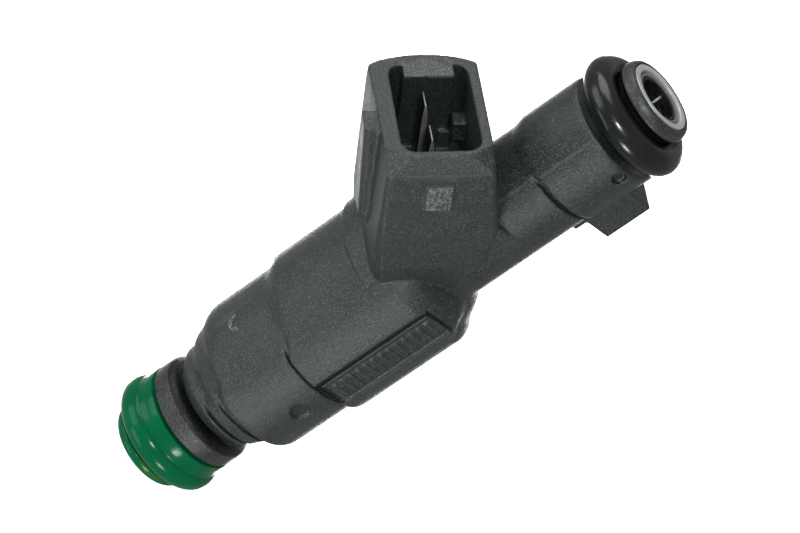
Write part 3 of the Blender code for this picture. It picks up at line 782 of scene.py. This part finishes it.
def saddle_pieces(frame_matrix):
    """Web on the stem and foot on the block under the shroud, and the pad on its side."""
    foot = cylinder("foot", *SHROUD_FOOT, facets=BARREL_FACETS)
    combine(foot, box("foot_limits", *FOOT_LIMITS), "INTERSECT")
    return [box("web", *WEB), foot, box("side_pad", *SIDE_PAD, frame_matrix)]


def label_panel(body):
    """Framed flat recess on the +Y flank, with a row of plain ribs where a label would be."""
    for name, low, high in PANEL_CUTS:
        cut(body, box(name, low, high))
    for i in range(RIB_COUNT):
        z = RIB_FIRST_Z + RIB_SPAN * i / (RIB_COUNT - 1)
        join(body, box("grip_rib", (RIB_X[0], RIB_Y[0], z - RIB_HALF),
                       (RIB_X[1], RIB_Y[1], z + RIB_HALF)))


def moulding_marks(body):
    """Ejector marks on the +Y side and the gate mark under the plug."""
    towards_y = Matrix.Rotation(-math.pi / 2, 4, "X")
    towards_x = Matrix.Rotation(math.pi / 2, 4, "Y")
    for x, z, radius, depth_y in EJECTORS:
        cut(body, cylinder("ejector_mark", radius, depth_y, 12.0,
                           Matrix.Translation((x, 0.0, z)) @ towards_y))
    gate = cylinder("gate_mark", GATE_R[1], 8.4, 12.0, Matrix.Translation(GATE) @ towards_x)
    core = cylinder("gate_core", GATE_R[0], 8.0, 13.0, Matrix.Translation(GATE) @ towards_x)
    cut(gate, core)
    cut(gate, box("gate_limit", (5.0, -3.0, GATE[2]), (14.0, 5.0, GATE[2] + 5.0)))
    cut(body, gate)


def cavity():
    """The hollow for the valve body, the coil and the tube."""
    facets = 96
    rows = []
    for r, z in ((BODY_CLEAR_R, CAVITY_LOW_Z), (BODY_CLEAR_R, HEAD_LOW_Z),
                 (HEAD_CLEAR_R, HEAD_LOW_Z), (HEAD_CLEAR_R, CHAMBER_Z[0]),
                 (CHAMBER_R, CHAMBER_Z[0]), (CHAMBER_R, CHAMBER_Z[1]),
                 (TUBE_CLEAR_R, CHAMBER_Z[1]), (TUBE_CLEAR_R, CAVITY_TOP_Z)):
        rows.append([(r * math.cos(math.tau * i / facets), r * math.sin(math.tau * i / facets), z)
                     for i in range(facets)])
    return skin("cavity", rows)


def guide_rail(frame_matrix):
    """Rail along the shroud's nozzle side, its lower end cut back, one long edge bevelled."""
    root, top, low, cut_back = 5.6, -0.3, -14.5, -13.2
    sections = []
    for y, bevel in ((0.0, 0.0), (2.5, 0.0), (2.9, 0.4)):
        sections.append([(root, y, top), (8.0 - bevel, y, top), (7.45 - bevel, y, cut_back),
                         (6.2, y, low), (root, y, low)])
    return loft("guide_rail", sections, frame_matrix)


def blade_slots(frame_matrix):
    """Slots in the moulding for the blades and for their legs."""
    half = BLADE_WIDTH / 2 + SLOT_GAP
    slot_half = BLADE_THICKNESS / 2 + SLOT_GAP
    tools = []
    for side in (-1, 1):
        y = side * BLADE_PITCH / 2
        tools.append(box("blade_slot", (BLADE_OFFSET - slot_half, y - half, SLOT_LOW),
                         (BLADE_OFFSET + slot_half, y + half, -SOCKET_DEPTH + 0.6),
                         frame_matrix))
        tools.append(box("leg_slot", (LEG_X - slot_half, y - half, LEG_SLOT_Z[0]),
                         (LEG_X + slot_half, y + half, LEG_SLOT_Z[1])))
    return tools


def soften(body):
    """Remesh finely and relax, which rounds every moulded edge a little."""
    remesh = body.modifiers.new("remesh", "REMESH")
    remesh.mode = "VOXEL"
    remesh.voxel_size = VOXEL * MM
    relax = body.modifiers.new("relax", "SMOOTH")
    relax.factor = 0.5
    relax.iterations = 3
    apply_modifiers(body)
    triangles = 2 * len(body.data.polygons)
    if triangles > MOULD_FACES:
        thin = body.modifiers.new("thin", "DECIMATE")
        thin.ratio = MOULD_FACES / triangles
        apply_modifiers(body)
    body.data.shade_smooth()
    return body


def within(point, zone):
    """Whether the point is inside a box, given by its lowest and highest corners."""
    return all(low < value < high for low, value, high in zip(zone[0], point, zone[1]))


def zone_of(world, local):
    """Which of the moulding's painted zones a point has, from its world and socket coordinates.
    """
    x, y, z = world
    gate_r = math.hypot(y - GATE[1], z - GATE[2])
    margin = 0.05
    # Pad and gate ring: lighter with brighter specks, partly eroded texture, partly painted
    # glints
    if within(local, PAD_ZONE):
        return "eroded_plastic_painted_glint"
    if x > 8.0 and z < GATE[2] and GATE_R[0] - margin < gate_r < GATE_R[1] + margin:
        return "eroded_plastic_painted_glint"
    # Key top: lighter, a painted highlight
    if within(local, KEY_ZONE):
        return "key_top_painted_highlight"
    # Ejector marks: darker, painted shade in their recesses
    for mark_x, mark_z, radius, depth_y in EJECTORS:
        if y > depth_y - 0.4 and math.hypot(x - mark_x, z - mark_z) < radius + margin:
            return "ejector_mark_painted_shade"
    return "housing_plastic"


def paint_light_and_shade_zones(body, frame_matrix):
    """Pad and gate mark painted lighter with brighter specks, partly their spark-eroded texture
    and partly painted glints; key top painted lighter as a painted highlight; ejector marks
    painted darker as painted shade.
    """
    inverse = frame_matrix.inverted()
    for face in body.data.polygons:
        world = face.center / MM
        face.material_index = MOULDING_ZONE_PAINTS.index(zone_of(world, inverse @ world))


def moulding(materials):
    """The one-piece moulding with everything that is moulded on it."""
    matrix = socket_frame()
    body = barrel_skin()
    join(body, shroud(matrix))
    join(body, guide_rail(matrix))
    for extra in saddle_pieces(matrix):
        join(body, extra)
    join(body, box("clip_lug", *CLIP_LUG))
    join(body, box("lug_pad", *LUG_PAD))
    label_panel(body)
    moulding_marks(body)
    cut(body, socket_space(matrix))
    for tool in blade_slots(matrix):
        cut(body, tool)
    cut(body, cavity())
    soften(body)
    for name in MOULDING_ZONE_PAINTS:
        body.data.materials.append(materials[name])
    paint_light_and_shade_zones(body, matrix)
    stand_for(body, "housing_plastic", "overmould_housing")


# ------------------------------------------------------------------ rings and tube

def ring_size(node):
    """Outer radius and lowest and highest z of a turned CAD node, in millimetres."""
    low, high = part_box(node)
    return high.x / MM, low.z / MM, high.z / MM


def sealing_ring(name, node, material, slot):
    """O-ring as large as its CAD node."""
    outer, low, high = ring_size(node)
    cord = (high - low) / 2
    steps = 48
    profile = [(outer - cord + cord * math.cos(math.tau * i / steps),
                (low + high) / 2 + cord * math.sin(math.tau * i / steps)) for i in range(steps)]
    ring = give(turned(name, profile, 192), material)
    ring.data.shade_smooth()
    stand_for(ring, slot, node)
    return ring


def sealing_rings(materials):
    """Both sealing rings; the black one is painted darker and less glossy where it faces the
    inlet's ring, as painted shade.
    """
    upper = sealing_ring("upper_seal", "upper_o_ring", materials["black_rubber"], "black_seal")
    # Painted shade: darker, duller faces on the ring's inner slope near the inlet's ring
    paint_where(upper, materials["black_rubber_painted_shade"], lambda r, z: r < 5.35 and z > 71.0)
    sealing_ring("lower_seal", "lower_o_ring", materials["green_rubber"], "green_seal")


def spacer_ring(materials):
    """Green ring behind the lower sealing ring, with a lip that reaches over the ring."""
    outer, low, high = ring_size("seal_spacer")
    lip = [(outer + 0.02, high), (outer + 0.02, low), (outer + 0.07, low - 0.35),
           (outer + 0.17, low - 0.75), (outer + 0.11, low - 0.77)]
    under = [(outer - 0.1, low - 0.55), (outer - 0.35, low - 0.38), (outer - 0.65, low - 0.25),
             (outer - 0.95, low - 0.1), (BODY_CLEAR_R, low), (BODY_CLEAR_R, high)]
    piece = shade_round(turned("spacer_ring", rounded(lip + under, 0.04, 2)), 30.0)
    stand_for(give(piece, materials["cap_plastic"]), "green_cap", "seal_spacer")


def back_collar(materials):
    """Purplish-grey collar with its bevelled back painted dark as painted shade."""
    outer, low, high = ring_size("lower_collar")
    collar = [(5.3, high), (5.9, high - 0.12), (6.3, high - 0.45), (outer - 0.02, high - 0.9),
              (outer, low), (BODY_CLEAR_R, low), (BODY_CLEAR_R, high)]
    piece = shade_round(turned("back_collar", rounded(collar, 0.3)))
    give(piece, materials["collar_plastic"])
    # Painted shade: the bevelled back painted near black
    paint_where(piece, materials["collar_back_painted_shade"], lambda r, z: z > high - 0.85)
    stand_for(piece, "collar_plastic", "lower_collar")


def end_cap(materials):
    """Green cap ring at the nozzle end."""
    outer, low, high = ring_size("nozzle_cap")
    cap = [(outer, high), (outer, 0.6), (outer - 0.6, low), (3.0, low), (3.0, 0.5),
           (BODY_CLEAR_R, 0.5), (BODY_CLEAR_R, high)]
    piece = give(shade_round(turned("end_cap", rounded(cap, 0.3))), materials["cap_plastic"])
    stand_for(piece, "green_cap", "nozzle_cap")


def inlet_ring(materials):
    """Dark ring behind the tube's lip, with a skirt down to the sealing ring painted black as
    painted shade.
    """
    outer, low, high = ring_size("inlet_collar")
    seat = ring_size("inlet_tube")[0] + 0.1
    seat_low_z, skirt_r = 73.0, 4.5
    collar = [(seat, high - 0.05), (seat + 0.2, high), (4.68, high - 0.2), (4.9, high - 0.75),
              (outer, high - 1.2), (outer - 0.1, high - 1.45), (skirt_r, low),
              (skirt_r, low - 0.5), (TUBE_CLEAR_R, low - 1.3), (TUBE_CLEAR_R, seat_low_z),
              (seat, 73.35)]
    piece = shade_round(turned("inlet_ring", rounded(collar, 0.2)))
    give(piece, materials["inlet_collar_plastic"])
    # Painted shade: the skirt below the collar painted near black
    paint_where(piece, materials["cage_black_and_painted_shade"], lambda r, z: z < high - 1.3)
    stand_for(piece, "inlet_collar_plastic", "inlet_collar")


def fuel_tube(materials):
    """Fuel tube with its flared mouth, painted dark inside as painted shade in the bore."""
    lip, _, high = ring_size("inlet_tube")
    tube = [(lip, high), (lip, 73.55), (TUBE_R, FLARE_Z), (TUBE_R, TUBE_LOW_Z),
            (TUBE_BORE_R, TUBE_LOW_Z), (TUBE_BORE_R, FILTER_STEP_Z[0]),
            (FILTER_BORE_R, FILTER_STEP_Z[1]), (FILTER_BORE_R, FLARE_Z), (3.3, 73.45),
            (3.3, high - 0.1), (3.4, high)]
    piece = give(shade_round(turned("fuel_tube", rounded(tube, 0.12))), materials["tube_steel"])
    # Painted shade: the bore below the mouth painted dark
    paint_where(piece, materials["bore_painted_shade"], lambda r, z: r < 3.2 and z < 73.4)
    stand_for(piece, "tube_steel", "inlet_tube")


def filter_ferrule(materials):
    """Metal rim of the inlet filter."""
    rim = [(3.08, 74.05), (3.08, 73.6), (2.85, 73.35), (2.75, 73.45), (2.78, 74.05)]
    piece = shade_round(turned("filter_ferrule", rounded(rim, 0.06)))
    give(piece, materials["ferrule_metal"])
    stand_for(piece, "brass_parts", "filter_rim")


def filter_cage(materials):
    """Plastic frame of the filter in near black, partly its colour and partly painted shade deep
    in the bore: a deep collar, ribs, a foot, and a spoke painted as bright steel for a painted
    highlight.
    """
    low, high = CAGE_Z
    collar = [(CAGE_R, high), (CAGE_R, low), (2.0, low), (2.0, 72.3), (2.35, 72.6), (2.35, high)]
    piece = turned("filter_cage", rounded(collar, 0.08), 64)
    join(piece, cylinder("cage_foot", CAGE_FOOT_R, *CAGE_FOOT_Z))
    for i in range(CAGE_RIBS):
        turn = Matrix.Rotation(math.tau * i / CAGE_RIBS, 4, "Z")
        join(piece, box("cage_rib", (2.05, -0.35, 62.2), (2.5, 0.35, 71.9), turn))
    join(piece, box("cage_spoke", (0.2, -0.11, 73.0), (2.5, 0.11, 73.4),
                    Matrix.Rotation(SPOKE_TURN, 4, "Z")))
    # Near black: partly the frame's colour, partly painted shade in the bore
    give(shade_round(piece), materials["cage_black_and_painted_shade"])
    # Painted highlight: the spoke painted with the tube's bright steel
    paint_where(piece, materials["tube_steel"], lambda r, z: r < 2.3 and z > 72.9)
    stand_for(piece, "filter_plastic", "filter_frame")


def blade_rows(side):
    """Sections of a blade from its foot up the leg, along the socket and to the chisel tip."""
    outward = Vector((math.cos(TILT), 0.0, math.sin(TILT)))
    across = Vector((outward.z, 0.0, -outward.x))
    tip = socket_frame() @ Vector((BLADE_OFFSET, 0.0, -BLADE_TIP_DEPTH))
    bend = tip - outward * ((tip.x - LEG_X) / outward.x)
    foot = Vector((LEG_X, 0.0, FOOT_Z))
    miter = Vector((1.0, 0.0, -math.tan((math.pi / 2 - TILT) / 2)))
    stations = [(foot, Vector((1.0, 0.0, 0.0)), 1.0, 1.0), (bend, miter, 1.0, 1.0)]
    for distance, width, thickness in BLADE_CHISEL:
        stations.append((tip - outward * distance, across, width, thickness))
    rows = []
    for point, axis, width, thickness in stations:
        a = axis * BLADE_THICKNESS / 2 * thickness
        b = Vector((0.0, BLADE_WIDTH / 2 * width, 0.0))
        middle = point + Vector((0.0, side * BLADE_PITCH / 2, 0.0))
        rows.append([tuple(middle + a - b), tuple(middle + a + b), tuple(middle - a + b),
                     tuple(middle - a - b)])
    return rows


def terminals(materials):
    """The two blades: narrow strips with broad faces painted dark as painted shade and edges and
    tips painted brighter as a painted highlight.
    """
    outward = Vector((math.cos(TILT), 0.0, math.sin(TILT)))
    for label, side in (("front", 1), ("rear", -1)):
        blade = skin("blade_" + label, blade_rows(side))
        bevel = blade.modifiers.new("edges", "BEVEL")
        bevel.width = BLADE_BEVEL * MM
        bevel.segments = 2
        bevel.limit_method = "ANGLE"
        apply_modifiers(blade)
        give(shade_round(blade, 30.0), materials["blade_tin"])
        blade.data.materials.append(materials["blade_edge_painted_highlight"])
        # Broad faces keep the darker tin (painted shade); edges and tips get the brighter metal
        # (painted highlight)
        for face in blade.data.polygons:
            on_side = abs(face.normal.y) > 0.6
            on_tip = face.normal.dot(outward) > 0.7
            face.material_index = 1 if on_side or on_tip else 0
        stand_for(blade, "blade_tin", "terminal_" + label)


# ------------------------------------------------------------------ stage

def area_light(name, direction, size, power):
    """A square soft light that shines on the target from a direction."""
    data = bpy.data.lights.new(name, "AREA")
    data.size = size * MM
    data.energy = power
    light = bpy.data.objects.new(name, data)
    bpy.context.scene.collection.objects.link(light)
    towards = Vector(direction).normalized()
    light.location = (Vector(TARGET) + towards * LIGHT_DISTANCE) * MM
    light.rotation_mode = "QUATERNION"
    light.rotation_quaternion = towards.to_track_quat("Z", "Y")


def camera_axes():
    """The camera's rotation, and its right, up and back directions."""
    back = Vector((math.sin(AZIMUTH) * math.cos(ELEVATION),
                   -math.cos(AZIMUTH) * math.cos(ELEVATION), math.sin(ELEVATION)))
    turn = (-back).to_track_quat("-Z", "Y") @ Quaternion((0.0, 0.0, 1.0), ROLL)
    return turn, turn @ Vector((1, 0, 0)), turn @ Vector((0, 1, 0)), back


def camera():
    turn, _, _, back = camera_axes()
    data = bpy.data.cameras.new("camera")
    data.lens = LENS
    data.sensor_width = SENSOR
    data.clip_start = 0.01
    data.clip_end = 20.0
    obj = bpy.data.objects.new("camera", data)
    bpy.context.scene.collection.objects.link(obj)
    obj.rotation_mode = "QUATERNION"
    obj.rotation_quaternion = turn
    obj.location = (Vector(TARGET) + back * DISTANCE) * MM
    bpy.context.scene.camera = obj


def lights():
    """Softboxes placed by their direction in the camera's right, up and back axes."""
    _, right, up, back = camera_axes()
    for name, share, size, power in LIGHTS:
        direction = right * share[0] + up * share[1] + back * share[2]
        area_light(name, direction, size, power)


def floor():
    """Pale floor, bright enough to stay white, that neither lights nor shades the part."""
    shape = bmesh.new()
    bmesh.ops.create_grid(shape, x_segments=1, y_segments=1, size=FLOOR_HALF)
    bmesh.ops.translate(shape, vec=(0.0, 0.0, FLOOR_Z), verts=shape.verts)
    obj = mesh_object("floor", shape)
    obj.visible_shadow = False
    obj.visible_diffuse = False
    obj.visible_glossy = False
    n = Nodes("floor")
    color = n.mix(n.ramp(n.noise(6.0), 0.3, 0.7), (0.86, 0.86, 0.86), (0.9, 0.9, 0.9))
    roughness = n.ramp(n.noise(20.0), 0.3, 0.7, 0.8, 0.9)
    give(obj, n.finish(color, roughness))
    n.shader.inputs["Emission Color"].default_value = (1.0, 1.0, 1.0, 1.0)
    n.shader.inputs["Emission Strength"].default_value = FLOOR_GLOW


def world():
    """White backdrop for the camera, with a dimmer glow on the object."""
    scene = bpy.context.scene
    scene.view_settings.view_transform = "Standard"
    scene.world = bpy.data.worlds.new("studio")
    scene.world.use_nodes = True
    tree = scene.world.node_tree
    background = tree.nodes["Background"]
    background.inputs["Color"].default_value = (1.0, 1.0, 1.0, 1.0)
    path = tree.nodes.new("ShaderNodeLightPath")
    level = tree.nodes.new("ShaderNodeMapRange")
    level.inputs["To Min"].default_value = AMBIENT
    level.inputs["To Max"].default_value = 1.0
    tree.links.new(path.outputs["Is Camera Ray"], level.inputs["Value"])
    tree.links.new(level.outputs["Result"], background.inputs["Strength"])


def build():
    camera()
    lights()
    floor()
    world()
    materials = make_materials()
    moulding(materials)
    for piece in (sealing_rings, spacer_ring, back_collar, end_cap, inlet_ring, fuel_tube,
                  filter_ferrule, filter_cage, terminals):
        piece(materials)
    for node, name in INNER_NODES.items():
        dress(node, materials[name])


build()
